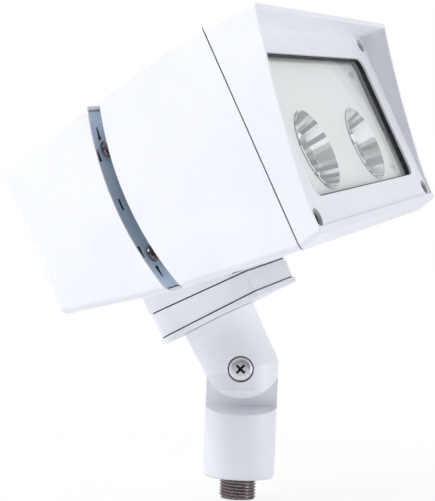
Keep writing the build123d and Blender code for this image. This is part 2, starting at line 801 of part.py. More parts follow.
# Light engine
light_places = [(-reflector_x, reflector_z), (reflector_x, reflector_z)]
with BuildPart() as heat_spreader:
    with BuildSketch(head_front.offset(-floor_front + 0.02)):
        with Locations((0, reflector_z + 4)):
            RectangleRounded(130, 50, 4)
        Circle(6, mode=Mode.SUBTRACT)
    extrude(amount=3)
heat_spreader.part.label = "heat_spreader"
export_step(heat_spreader.part, "parts/heat_spreader.step")

spreader_front = -floor_front + 3.04
for place, name in zip(light_places, ("left", "right")):
    with BuildPart() as led_array:
        with BuildSketch(head_front.offset(spreader_front)):
            with Locations(place):
                Rectangle(19, 19)
        extrude(amount=1.2)
        with BuildSketch(head_front.offset(spreader_front + 1.2)):
            with Locations(place):
                RectangleRounded(10, 10, 0.8)
        extrude(amount=0.7)
    led_array.part.label = "led_array_" + name
    export_step(led_array.part, "parts/led_array_" + name + ".step")

    with BuildPart() as led_holder:
        with BuildSketch(head_front.offset(spreader_front)):
            with Locations(place):
                RectangleRounded(30, 24, 2)
        extrude(amount=3.4)
        with BuildSketch(head_front.offset(spreader_front)):
            with Locations(place):
                Rectangle(19.3, 19.3)
        extrude(amount=1.4, mode=Mode.SUBTRACT)
        with BuildSketch(head_front.offset(spreader_front)):
            with Locations(place):
                Circle(7.6)
            with Locations((place[0] - 12.4, place[1]), (place[0] + 12.4, place[1])):
                Circle(1.3)
        extrude(amount=5, mode=Mode.SUBTRACT)
    led_holder.part.label = "led_holder_" + name
    export_step(led_holder.part, "parts/led_holder_" + name + ".step")

    # Reflector: a faceted bowl of six steps, open at the throat, with a rim
    bowl_plane = Plane(origin=head_front.from_local_coords((place[0], place[1], 0)), x_dir=head_level.x_dir,
                       z_dir=head_level.z_dir)
    with BuildPart() as reflector:
        with BuildSketch(bowl_plane):
            with BuildLine():
                Polyline(
                    (7.4, 13.2),
                    (12.3, 11.49),
                    (16, 8.41),
                    (19, 4.87),
                    (21.3, 0.19),
                    (22.3, 0.9 - rim_depth),
                    (23.2, 0.9 - rim_depth),
                    (23.2, -rim_depth),
                    (22, -rim_depth),
                    (20.5, -0.15),
                    (18.3, 4.19),
                    (15.4, 7.61),
                    (11.9, 10.46),
                    (7.4, 12.06),
                    close=True,
                )
            make_face()
        revolve(axis=Axis(bowl_plane.origin, head_level.y_dir))
    reflector.part.label = "reflector_" + name
    export_step(reflector.part, "parts/reflector_" + name + ".step")

with BuildPart() as led_holder_screws:
    holder_screw_places = [(x + side * 12.4, z) for x, z in light_places for side in (-1, 1)]
    with BuildSketch(head_front.offset(spreader_front)):
        with Locations(*holder_screw_places):
            Circle(1.2)
    extrude(amount=3.45)
    with BuildSketch(head_front.offset(spreader_front + 3.45)):
        with Locations(*holder_screw_places):
            Circle(2)
    extrude(amount=1.2)
led_holder_screws.part.label = "led_holder_screws"
export_step(led_holder_screws.part, "parts/led_holder_screws.step")

# Reflector tray: a pan turned face down, with the bowls set into it
with BuildPart() as reflector_tray:
    with BuildSketch(head_front.offset(-4.1)):
        with Locations((0, window_middle)):
            RectangleRounded(184, 81, 7)
    extrude(amount=9.3)
    fillet(reflector_tray.faces().sort_by(head_back)[0].edges(), radius=3.2)
    with BuildSketch(head_front.offset(-4.1)):
        with Locations((0, window_middle)):
            RectangleRounded(181.6, 78.6, 5.8)
    extrude(amount=7.9, mode=Mode.SUBTRACT)
    with BuildSketch(head_front.offset(-4.1)):
        with Locations(*light_places):
            Circle(22.7)
        with Locations(*post_places):
            Circle(1.5)
    extrude(amount=12, mode=Mode.SUBTRACT)
reflector_tray.part.label = "reflector_tray"
export_step(reflector_tray.part, "parts/reflector_tray.step")

with BuildPart() as reflector_tray_screws:
    with BuildSketch(head_front.offset(5.2)):
        with Locations(*post_places):
            Circle(2.8)
    extrude(amount=0.9)
    with BuildSketch(head_front.offset(5.2)):
        with Locations(*post_places):
            Circle(1.25)
    extrude(amount=-9)
    with BuildSketch(head_front.offset(6.1)):
        with Locations(*post_places):
            Rectangle(3, 0.7)
            Rectangle(0.7, 3)
    extrude(amount=-0.6, mode=Mode.SUBTRACT)
reflector_tray_screws.part.label = "reflector_tray_screws"
export_step(reflector_tray_screws.part, "parts/reflector_tray_screws.step")

# Glass with its gasket, held to the back of the door by clips
glass_front = 8.9
glass_thickness = 2.5
glass_back = glass_front - glass_thickness
with BuildPart() as glass_lens:
    with BuildSketch(head_front.offset(glass_back)):
        with Locations((0, window_middle)):
            RectangleRounded(window_width + 6, window_height + 6, 5)
    extrude(amount=glass_thickness)
glass_lens.part.label = "glass_lens"
export_step(glass_lens.part, "parts/glass_lens.step")

with BuildPart() as lens_gasket:
    with BuildSketch(head_front.offset(glass_back)):
        with Locations((0, window_middle)):
            RectangleRounded(window_width + 10, window_height + 10, 7)
            RectangleRounded(window_width + 6.2, window_height + 6.2, 5.1, mode=Mode.SUBTRACT)
    extrude(amount=glass_thickness + 0.05)
    with BuildSketch(head_front.offset(glass_front + 0.05)):
        with Locations((0, window_middle)):
            RectangleRounded(window_width + 10, window_height + 10, 7)
    extrude(amount=0.6)
    # Collar that lines the window's edge
    with BuildSketch(head_front.offset(glass_front + 0.05)):
        with Locations((0, window_middle)):
            RectangleRounded(window_width - 0.06, window_height - 0.06, window_corner - 0.03)
    extrude(amount=1.2)
    with BuildSketch(head_front.offset(glass_front + 0.05)):
        with Locations((0, window_middle)):
            RectangleRounded(window_width - 1.6, window_height - 1.6, window_corner - 0.8)
    extrude(amount=3, mode=Mode.SUBTRACT)
lens_gasket.part.label = "lens_gasket"
export_step(lens_gasket.part, "parts/lens_gasket.step")

clip_x_places = (-62, 0, 62)
clip_top = 50.2
clip_bottom = -49
clip_places = [(x, z) for x in clip_x_places for z in (clip_top, clip_bottom)]
with BuildPart() as lens_clips:
    with BuildSketch(head_front.offset(glass_back - 0.05)):
        for side, screw_z in ((1, clip_top), (-1, clip_bottom)):
            inner_edge = window_middle + side * (window_height / 2 + 1.8)
            outer_edge = screw_z + side * 3
            with Locations(*[(x, (inner_edge + outer_edge) / 2) for x in clip_x_places]):
                Rectangle(9, abs(outer_edge - inner_edge))
        with Locations(*clip_places):
            Circle(1.6, mode=Mode.SUBTRACT)
    extrude(amount=-1.2)
lens_clips.part.label = "lens_clips"
export_step(lens_clips.part, "parts/lens_clips.step")

with BuildPart() as lens_clip_screws:
    with BuildSketch(head_front.offset(glass_back - 1.3)):
        with Locations(*clip_places):
            Circle(2.8)
    extrude(amount=-1.2)
    with BuildSketch(head_front.offset(glass_back - 1.3)):
        with Locations(*clip_places):
            Circle(1.25)
    extrude(amount=4)
lens_clip_screws.part.label = "lens_clip_screws"
export_step(lens_clip_screws.part, "parts/lens_clip_screws.step")

# Door frame with the visor hood, deep at the top and shallow at the bottom
with BuildPart() as door_frame:
    with BuildSketch(head_side.offset(-half_width)):
        with BuildLine():
            Polyline(
                (-door_depth_bottom - 0.3, -42),
                (-door_depth_bottom, seam_bottom + 2.7),
                (-seam_gap, seam_bottom),
            )
            Polyline((-seam_gap, seam_bottom), (-seam_gap, seam_top), (-door_depth_top, seam_top - 2.5))
            ThreePointArc(
                (-door_depth_top, seam_top - 2.5), (-door_depth_middle, 1), (-door_depth_bottom - 0.3, -42)
            )
        make_face()
    extrude(amount=2 * half_width)
    fillet(side_edges(door_frame.edges(), half_width, -70, -57), radius=bottom_rounding)
    fillet(side_edges(door_frame.edges(), half_width, 56.5, 70), radius=2)
    # Hood pocket in front of the face
    with BuildSketch(head_side.offset(-(half_width - hood_wall))):
        with BuildLine():
            Polyline((-face_depth, 54.6), (-45, 51.7), (-45, -53.4), (-face_depth, -53.4), close=True)
        make_face()
    extrude(amount=2 * (half_width - hood_wall), mode=Mode.SUBTRACT)
    # Space behind the face, the glass's seat and the window
    with BuildSketch(head_front.offset(face_depth - wall)):
        with Locations((0, 0.2)):
            RectangleRounded(2 * (half_width - wall), 110, 4)
    extrude(amount=-20, mode=Mode.SUBTRACT)
    with BuildSketch(head_front):
        with Locations((0, window_middle)):
            RectangleRounded(window_width + 10.2, window_height + 10.2, 7.1)
    extrude(amount=glass_front + 0.7, mode=Mode.SUBTRACT)
    with BuildSketch(head_front):
        with Locations((0, window_middle)):
            RectangleRounded(window_width, window_height, window_corner)
    extrude(amount=20, mode=Mode.SUBTRACT)
    # Posts for the door screws and the clips
    with BuildSketch(head_front.offset(seam_gap)):
        with Locations(*door_screw_places):
            Circle(6.8)
    extrude(amount=face_depth - wall)
    with BuildSketch(head_front.offset(glass_back)):
        with Locations(*clip_places):
            Circle(3.2)
    extrude(amount=2.3)
    with BuildSketch(head_front.offset(glass_back)):
        with Locations(*clip_places):
            Circle(1.3)
    extrude(amount=3, mode=Mode.SUBTRACT)
    with BuildSketch(head_front):
        with Locations(*door_screw_places):
            Circle(2.1)
    extrude(amount=20, mode=Mode.SUBTRACT)
    with BuildSketch(head_front.offset(door_screw_seat)):
        with Locations(*door_screw_places):
            Circle(4.7)
    extrude(amount=face_depth - door_screw_seat + 0.1, mode=Mode.SUBTRACT)
door_frame.part.label = "door_frame"
export_step(door_frame.part, "parts/door_frame.step")

with BuildPart() as door_gasket:
    with BuildSketch(head_front.offset(-seam_gap + 0.02)):
        with Locations((0, (seam_top + seam_bottom) / 2)):
            RectangleRounded(2 * half_width - 1.6, seam_top - seam_bottom - 1.6, 3.3)
            RectangleRounded(2 * half_width - 6, seam_top - seam_bottom - 6, 2, mode=Mode.SUBTRACT)
    extrude(amount=2 * seam_gap - 0.04)
door_gasket.part.label = "door_gasket"
export_step(door_gasket.part, "parts/door_gasket.step")

with BuildPart() as door_screws:
    with BuildSketch(head_front.offset(door_screw_seat)):
        with Locations(*door_screw_places):
            Circle(4.2)
    extrude(amount=1.9)
    with BuildSketch(head_front.offset(door_screw_seat)):
        with Locations(*door_screw_places):
            Circle(1.65)
    extrude(amount=-19)
    with BuildSketch(head_front.offset(door_screw_seat + 1.9)):
        with Locations(*door_screw_places):
            Rectangle(4.6, 1.1)
            Rectangle(1.1, 4.6)
    extrude(amount=-1.2, mode=Mode.SUBTRACT)
door_screws.part.label = "door_screws"
export_step(door_screws.part, "parts/door_screws.step")
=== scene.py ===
import json
from math import cos, pi, radians

import bpy
from mathutils import Matrix, Vector

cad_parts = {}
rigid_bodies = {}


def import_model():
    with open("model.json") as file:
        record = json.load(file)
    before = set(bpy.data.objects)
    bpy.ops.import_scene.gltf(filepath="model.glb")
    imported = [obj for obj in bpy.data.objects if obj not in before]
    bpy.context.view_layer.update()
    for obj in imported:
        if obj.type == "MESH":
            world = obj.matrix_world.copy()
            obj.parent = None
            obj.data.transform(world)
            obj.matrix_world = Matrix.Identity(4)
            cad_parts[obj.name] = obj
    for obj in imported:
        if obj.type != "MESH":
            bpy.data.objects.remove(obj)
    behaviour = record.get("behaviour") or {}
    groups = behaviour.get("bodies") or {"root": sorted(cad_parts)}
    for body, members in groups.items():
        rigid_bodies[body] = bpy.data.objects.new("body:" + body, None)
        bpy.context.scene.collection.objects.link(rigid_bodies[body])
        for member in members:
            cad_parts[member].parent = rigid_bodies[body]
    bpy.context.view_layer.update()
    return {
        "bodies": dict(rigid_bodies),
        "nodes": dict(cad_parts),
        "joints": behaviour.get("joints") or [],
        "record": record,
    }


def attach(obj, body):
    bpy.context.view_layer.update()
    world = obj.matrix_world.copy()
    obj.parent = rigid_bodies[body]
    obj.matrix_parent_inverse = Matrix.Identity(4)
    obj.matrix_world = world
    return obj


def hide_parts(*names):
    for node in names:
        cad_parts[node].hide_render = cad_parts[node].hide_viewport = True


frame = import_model()
nodes = frame["nodes"]
bpy.context.scene.view_settings.view_transform = "Standard"
print("frame loaded:", len(nodes), "nodes")

# Where things are, in metres and degrees
place = {
    "pivotHeight": 0.0637,
    "armLean": 28.5,
    "headTurn": 21.5,
    "wedge": 2.6,
    "blockHeight": 0.0361,
    "axisBehindSeam": 0.1074,
    "axisDrop": 0.0688,
}
armFrame = (
    Matrix.Translation((0, 0, place["pivotHeight"]))
    @ Matrix.Rotation(-radians(place["armLean"]), 4, "X")
)
headFrame = (
    armFrame
    @ Matrix.Translation((0, 0, place["blockHeight"]))
    @ Matrix.Rotation(-radians(place["headTurn"]), 4, "Z")
    @ Matrix.Rotation(radians(place["wedge"]), 4, "X")
    @ Matrix.Translation((0, -place["axisBehindSeam"], place["axisDrop"]))
)  # X to the far side, Y to the rear, Z up, from the middle of the door's seam


# Camera
cameraLook = {
    "place": (-0.74803, -0.04059, 0.09786),
    "ahead": (0.995932, 0.077693, 0.045653),
    "up": (-0.048755, 0.038509, 0.998068),
    "lens": 91.016, "sensor": 36, "nearest": 0.01,
}


def aimed(place, ahead, up):
    # a matrix that looks along ahead, as a camera or a lamp does
    back = -Vector(ahead).normalized()
    right = Vector(up).cross(back).normalized()
    top = back.cross(right)
    turn = Matrix((right, top, back)).transposed().to_4x4()
    return Matrix.Translation(place) @ turn


camera = bpy.data.objects.new("camera", bpy.data.cameras.new("camera"))
camera.data.lens = cameraLook["lens"]
camera.data.sensor_width = cameraLook["sensor"]
camera.data.clip_start = cameraLook["nearest"]
camera.matrix_world = aimed(cameraLook["place"], cameraLook["ahead"], cameraLook["up"])
bpy.context.scene.collection.objects.link(camera)
bpy.context.scene.camera = camera


# Small helpers
def toLinear(hexColour):
    # an sRGB hex colour as linear red, green and blue, and opaque
    parts = [int(hexColour[i:i + 2], 16) / 255 for i in (1, 3, 5)]
    return tuple(p / 12.92 if p <= 0.04045 else ((p + 0.055) / 1.055) ** 2.4 for p in parts) + (1.0,)


def addNode(tree, kind, settings=None, links=None):
    # names in lower case are the node's own settings, the rest are its inputs
    node = tree.nodes.new(kind)
    for key, value in (settings or {}).items():
        if isinstance(key, str) and key[0].islower():
            setattr(node, key, value)
        else:
            node.inputs[key].default_value = value
    for key, source in (links or {}).items():
        tree.links.new(source, node.inputs[key])
    return node


def newMaterial(name):
    material = bpy.data.materials.new(name)
    material.use_nodes = True
    tree = material.node_tree
    tree.nodes.clear()
    output = tree.nodes.new("ShaderNodeOutputMaterial")
    return material, tree, output


# Materials, with pattern sizes in metres. Tones run between two values of a pattern's noise.
coatPattern = {"from": 0.3, "to": 0.7, "glossSwing": 0.05, "relief": 0.0002}
metalPattern = {
    "from": 0.35, "to": 0.65, "glossFrom": 0.3, "glossTo": 0.7, "glossSwing": 0.06, "relief": 0.0001}
plasticPattern = {"from": 0.3, "to": 0.7, "relief": 0.0001}


def coatedMetal(name, look):
    # powder coat: sprayed and baked, so a soft even sheen over a faint orange-peel ripple
    material, tree, output = newMaterial(name)
    coords = addNode(tree, "ShaderNodeTexCoord")
    cloudy = addNode(tree, "ShaderNodeTexNoise", {"Scale": 1 / look["cloud"], "Detail": 3.0},
                     {"Vector": coords.outputs["Object"]})
    peel = addNode(tree, "ShaderNodeTexNoise", {"Scale": 1 / look["peel"], "Detail": 2.0},
                   {"Vector": coords.outputs["Object"]})
    colour = addNode(tree, "ShaderNodeValToRGB", None, {"Fac": cloudy.outputs["Fac"]})
    colour.color_ramp.elements[0].position = coatPattern["from"]
    colour.color_ramp.elements[0].color = toLinear(look["shade"])
    colour.color_ramp.elements[1].position = coatPattern["to"]
    colour.color_ramp.elements[1].color = toLinear(look["colour"])
    rough = addNode(tree, "ShaderNodeMapRange", {
        "From Min": coatPattern["from"], "From Max": coatPattern["to"],
        "To Min": look["roughness"] - coatPattern["glossSwing"],
        "To Max": look["roughness"] + coatPattern["glossSwing"]}, {"Value": peel.outputs["Fac"]})
    ripple = addNode(tree, "ShaderNodeBump", {"Strength": look["ripple"], "Distance": coatPattern["relief"]},
                     {"Height": peel.outputs["Fac"]})
    shader = addNode(tree, "ShaderNodeBsdfPrincipled", {"IOR": 1.5}, {
        "Base Color": colour.outputs["Color"], "Roughness": rough.outputs["Result"],
        "Normal": ripple.outputs["Normal"]})
    tree.links.new(shader.outputs["BSDF"], output.inputs["Surface"])
    return material


def metalFinish(name, look):
    # bare or plated metal: tone and gloss vary faintly, on a grain drawn coarser than the real one, which
    # is too fine to show
    material, tree, output = newMaterial(name)
    coords = addNode(tree, "ShaderNodeTexCoord")
    bloom = addNode(tree, "ShaderNodeTexNoise", {"Scale": 1 / look["grain"], "Detail": 4.0, "Roughness": 0.6},
                    {"Vector": coords.outputs["Object"]})
    colour = addNode(tree, "ShaderNodeValToRGB", None, {"Fac": bloom.outputs["Fac"]})
    colour.color_ramp.elements[0].position = metalPattern["from"]
    colour.color_ramp.elements[0].color = toLinear(look["shade"])
    colour.color_ramp.elements[1].position = metalPattern["to"]
    colour.color_ramp.elements[1].color = toLinear(look["colour"])
    rough = addNode(tree, "ShaderNodeMapRange", {
        "From Min": metalPattern["glossFrom"], "From Max": metalPattern["glossTo"],
        "To Min": look["roughness"] - metalPattern["glossSwing"],
        "To Max": look["roughness"] + metalPattern["glossSwing"]}, {"Value": bloom.outputs["Fac"]})
    bump = addNode(tree, "ShaderNodeBump", {"Strength": look["bump"], "Distance": metalPattern["relief"]},
                   {"Height": bloom.outputs["Fac"]})
    shader = addNode(tree, "ShaderNodeBsdfPrincipled", {"Metallic": 1.0}, {
        "Base Color": colour.outputs["Color"], "Roughness": rough.outputs["Result"],
        "Normal": bump.outputs["Normal"]})
    tree.links.new(shader.outputs["BSDF"], output.inputs["Surface"])
    return material


def mouldedPlastic(name, look):
    # injection-moulded plastic or rubber: the mould's spark-eroded grain, drawn coarser than the real one,
    # which is too fine to show
    material, tree, output = newMaterial(name)
    coords = addNode(tree, "ShaderNodeTexCoord")
    grain = addNode(tree, "ShaderNodeTexNoise", {"Scale": 1 / look["grain"], "Detail": 2.0},
                    {"Vector": coords.outputs["Object"]})
    colour = addNode(tree, "ShaderNodeValToRGB", None, {"Fac": grain.outputs["Fac"]})
    colour.color_ramp.elements[0].position = plasticPattern["from"]
    colour.color_ramp.elements[0].color = toLinear(look["shade"])
    colour.color_ramp.elements[1].position = plasticPattern["to"]
    colour.color_ramp.elements[1].color = toLinear(look["colour"])
    bump = addNode(tree, "ShaderNodeBump", {"Strength": look["bump"], "Distance": plasticPattern["relief"]},
                   {"Height": grain.outputs["Fac"]})
    shader = addNode(tree, "ShaderNodeBsdfPrincipled", {"Roughness": look["roughness"], "IOR": look["ior"]}, {
        "Base Color": colour.outputs["Color"], "Normal": bump.outputs["Normal"]})
    tree.links.new(shader.outputs["BSDF"], output.inputs["Surface"])
    return material


def clearGlass(name, look):
    # toughened flat glass: a clear body under a mirror-like skin that shows more at a slant
    material, tree, output = newMaterial(name)
    coords = addNode(tree, "ShaderNodeTexCoord")
    haze = addNode(tree, "ShaderNodeTexNoise", {"Scale": 1 / look["haze"], "Detail": 2.0},
                   {"Vector": coords.outputs["Object"]})
    tint = addNode(tree, "ShaderNodeValToRGB", None, {"Fac": haze.outputs["Fac"]})
    tint.color_ramp.elements[0].color = toLinear(look["shade"])
    tint.color_ramp.elements[1].color = toLinear(look["colour"])
    facing = addNode(tree, "ShaderNodeLayerWeight", {"Blend": 0.5})
    steep = addNode(tree, "ShaderNodeMath", {"operation": "POWER", 1: 5.0}, {0: facing.outputs["Facing"]})
    fresnel = addNode(tree, "ShaderNodeMapRange", {"To Min": 0.04, "To Max": 1.0}, {
        "Value": steep.outputs[0]})
    body = addNode(tree, "ShaderNodeBsdfTransparent", None, {"Color": tint.outputs["Color"]})
    skin = addNode(tree, "ShaderNodeBsdfGlossy", {"Roughness": 0.02, "Color": (1, 1, 1, 1)})
    mix = addNode(tree, "ShaderNodeMixShader", None, {
        0: fresnel.outputs["Result"], 1: body.outputs["BSDF"], 2: skin.outputs["BSDF"]})
    tree.links.new(mix.outputs["Shader"], output.inputs["Surface"])
    return material


def facetMetal(name, look):
    # vacuum-metallised facets, each set bright or dark by a random value: the dark ones are painted
    # reflections of something dark
    material, tree, output = newMaterial(name)
    paintedReflection = addNode(tree, "ShaderNodeAttribute", {"attribute_name": "facetPaintedReflection"})
    colour = addNode(tree, "ShaderNodeValToRGB", None, {"Fac": paintedReflection.outputs["Fac"]})
    colour.color_ramp.elements[0].position = look["darkTo"]
    colour.color_ramp.elements[0].color = toLinear(look["shade"])
    colour.color_ramp.elements[1].position = look["lightFrom"]
    colour.color_ramp.elements[1].color = toLinear(look["colour"])
    shader = addNode(tree, "ShaderNodeBsdfPrincipled", {"Metallic": 1.0, "Roughness": look["roughness"]},
                     {"Base Color": colour.outputs["Color"]})
    tree.links.new(shader.outputs["BSDF"], output.inputs["Surface"])
    return material


# white powder coat on castings: bright and even, half matt
whitePowderCoat = coatedMetal("whitePowderCoat", {
    "colour": "#F0F1F6", "shade": "#EBECF2", "cloud": 0.03, "peel": 0.0016, "ripple": 0.1, "roughness": 0.36})
# powder coat on the driver cover, tinted blue-grey as painted shade: cool and dusky in the shade of the air
# gap
coverCoatPaintedShade = coatedMetal("coverPowderCoatPaintedShade", {
    "colour": "#CFE3F7", "shade": "#BED4EA", "cloud": 0.01, "peel": 0.0016, "ripple": 0.15, "roughness": 0.4})
# baked white paint on pressed aluminium: flat and clean, it throws the light forward
trayPaint = coatedMetal("trayWhitePaint", {
    "colour": "#F7F7F5", "shade": "#F3F3F1", "cloud": 0.015, "peel": 0.001, "ripple": 0.08, "roughness": 0.5})
# zinc plated steel: pale grey with a soft gloss
zincSteel = metalFinish("zincPlatedSteel", {
    "colour": "#E9E7EC", "shade": "#D2D0D6", "grain": 0.0012, "roughness": 0.38, "bump": 0.1})
# blackened steel, lightly oiled: dark and brownish, with tight highlights
gunSteel = metalFinish("blackenedSteel", {
    "colour": "#93898A", "shade": "#6C6263", "grain": 0.0012, "roughness": 0.2, "bump": 0.1})
# near-black dull steel, as painted shade: the door screws' heads, which sit in shaded counterbores, and the
# bars that darken every cross recess
shadeDarkSteel = metalFinish("paintedShadeDarkSteel", {
    "colour": "#3A3A3D", "shade": "#1E1E20", "grain": 0.0006, "roughness": 0.45, "bump": 0.3})
# milled aluminium: pale, with a faint grain
plainAluminium = metalFinish("milledAluminium", {
    "colour": "#D6D7D9", "shade": "#C4C5C8", "grain": 0.0015, "roughness": 0.35, "bump": 0.2})
# moulded silicone rubber: near black, dull and slightly soft; it is also the painted shade in the driver
# cover's slots
rubberAndSlotShade = mouldedPlastic("rubberAndSlotShade", {
    "colour": "#20292A", "shade": "#131A1B", "grain": 0.0007, "roughness": 0.55, "ior": 1.43, "bump": 0.2})
# moulded black nylon: fine grain, half matt
blackPlastic = mouldedPlastic("blackNylon", {
    "colour": "#1C1C1E", "shade": "#141415", "grain": 0.0006, "roughness": 0.5, "ior": 1.53, "bump": 0.2})
# moulded beige polycarbonate: warm, slightly waxy
beigePlastic = mouldedPlastic("beigePolycarbonate", {
    "colour": "#D9CFB8", "shade": "#CFC4AA", "grain": 0.0008, "roughness": 0.45, "ior": 1.58, "bump": 0.15})
# moulded white polycarbonate: clean and slightly waxy
whitePlastic = mouldedPlastic("whitePolycarbonate", {
    "colour": "#ECECEA", "shade": "#E4E4E1", "grain": 0.0008, "roughness": 0.45, "ior": 1.58, "bump": 0.15})
# green chromated zinc on the earth screw: metallic green
greenZinc = metalFinish("greenZincSteel", {
    "colour": "#4C8A57", "shade": "#3B7446", "grain": 0.0008, "roughness": 0.4, "bump": 0.2})
# silicone filled with phosphor, cast over the light chips: yellow and satin
phosphor = mouldedPlastic("siliconePhosphor", {
    "colour": "#E8C65A", "shade": "#DDB846", "grain": 0.0009, "roughness": 0.4, "ior": 1.41, "bump": 0.1})
# toughened float glass: clear, it mirrors the room only at a slant
windowGlass = clearGlass("toughenedGlass", {"colour": "#FEFEFE", "shade": "#FCFDFD", "haze": 0.05})
# vacuum-metallised facets: bright, with some painted dark as painted reflections of something dark
reflectorMetal = facetMetal("metallisedFacets", {
    "colour": "#FFFFFF", "shade": "#6A6A6C", "darkTo": 0.24, "lightFrom": 0.27, "roughness": 0.2})

finishes = {
    whitePowderCoat: [
        "knuckle_base", "swivel_arm", "base_plate", "swivel_base", "driver_housing", "led_housing",
        "door_frame"],
    coverCoatPaintedShade: ["driver_cover"],
    trayPaint: ["reflector_tray"],
    zincSteel: [
        "tilt_screw", "tilt_lock_washer", "tilt_nut", "swivel_stub", "stub_washer", "stub_locknut",
        "base_plate_screws", "swivel_base_screws", "driver_cover_screws", "driver_module_screws",
        "bridge_bolts", "led_holder_screws", "reflector_tray_screws", "lens_clips", "lens_clip_screws"],
    gunSteel: ["threaded_nipple"],
    shadeDarkSteel: ["door_screws"],
    plainAluminium: ["heat_spreader", "driver_module", "reflector_left", "reflector_right"],
    rubberAndSlotShade: [
        "lap_o_ring", "swivel_o_ring", "base_plate_gasket", "swivel_base_gasket", "driver_cover_gasket",
        "bridge_gasket", "lens_gasket", "door_gasket"],
    blackPlastic: ["surge_module"],
    beigePlastic: ["terminal_block"],
    whitePlastic: ["led_holder_left", "led_holder_right"],
    greenZinc: ["ground_screw"],
    phosphor: ["led_array_left", "led_array_right"],
    windowGlass: ["glass_lens"],
}
for material, names in finishes.items():
    for name in names:
        nodes[name].material_slots[0].material = material
print("materials made:", len(finishes))


# Geometry node helpers
def newTree(name, sockets):
    tree = bpy.data.node_groups.new(name, "GeometryNodeTree")
    tree.interface.new_socket("Geometry", in_out="INPUT", socket_type="NodeSocketGeometry")
    tree.interface.new_socket("Geometry", in_out="OUTPUT", socket_type="NodeSocketGeometry")
    ids = {}
    for label, kind in sockets.items():
        socket = tree.interface.new_socket(label, in_out="INPUT", socket_type="NodeSocket" + kind)
        ids[label] = socket.identifier
    return tree, ids


def bakeTree(name, tree, ids, values, turn, body, startMesh=None):
    # run the tree once and keep its result as a plain mesh
    holder = bpy.data.objects.new(name + "Maker", startMesh or bpy.data.meshes.new(name + "Maker"))
    bpy.context.scene.collection.objects.link(holder)
    modifier = holder.modifiers.new("maker", "NODES")
    modifier.node_group = tree
    for label, value in values.items():
        modifier[ids[label]] = value
    bpy.context.view_layer.update()
    shape = bpy.data.meshes.new_from_object(holder.evaluated_get(bpy.context.evaluated_depsgraph_get()))
    holder.modifiers.remove(modifier)
    bpy.data.objects.remove(holder)
    shape.name = name
    shape.transform(turn)
    piece = bpy.data.objects.new(name, shape)
    bpy.context.scene.collection.objects.link(piece)
    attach(piece, body)
    return piece


def smoothSides(tree, geometry, sharpAngle=0.6):
    # smooth shading broken at every edge sharper than the angle
    smooth = addNode(tree, "GeometryNodeSetShadeSmooth", {"Shade Smooth": True}, {"Geometry": geometry})
    angle = tree.nodes.new("GeometryNodeInputMeshEdgeAngle")
    sharp = addNode(tree, "FunctionNodeCompare", {
        "data_type": "FLOAT", "operation": "GREATER_THAN", 1: sharpAngle}, {0: angle.outputs[0]})
    crisp = addNode(tree, "GeometryNodeSetShadeSmooth", {"domain": "EDGE", "Shade Smooth": False}, {
        "Geometry": smooth.outputs[0], "Selection": sharp.outputs[0]})
    return crisp.outputs[0]


def finishTree(tree, parts):
    # parts: pairs of geometry and material sockets
    join = tree.nodes.new("GeometryNodeJoinGeometry")
    for geometry, material in parts:
        real = addNode(tree, "GeometryNodeRealizeInstances", None, {0: geometry})
        painted = addNode(tree, "GeometryNodeSetMaterial", None, {
            "Geometry": real.outputs[0], "Material": material})
        tree.links.new(painted.outputs[0], join.inputs[0])
    addNode(tree, "NodeGroupOutput", None, {0: join.outputs[0]})


def pointsMesh(name, spots):
    mesh = bpy.data.meshes.new(name)
    mesh.from_pydata(spots, [], [])
    return mesh


# Screws: domed heads with a cross recess, one set for each node
# the mesh of every dome: rows up to middleTo are the middle of its underside, and it climbs from domeFrom
headMesh = {"segments": 48, "rows": 9, "middleTo": 0.6, "domeFrom": 1.2, "shankSides": 24, "weld": 0.000002}
# the cutter's middle as a share of the head's height, and the painted-shade bars as shares of the cross's
# depth
recess = {"cutterMiddle": 1.5, "barMiddle": 0.6, "barHeight": 0.5}


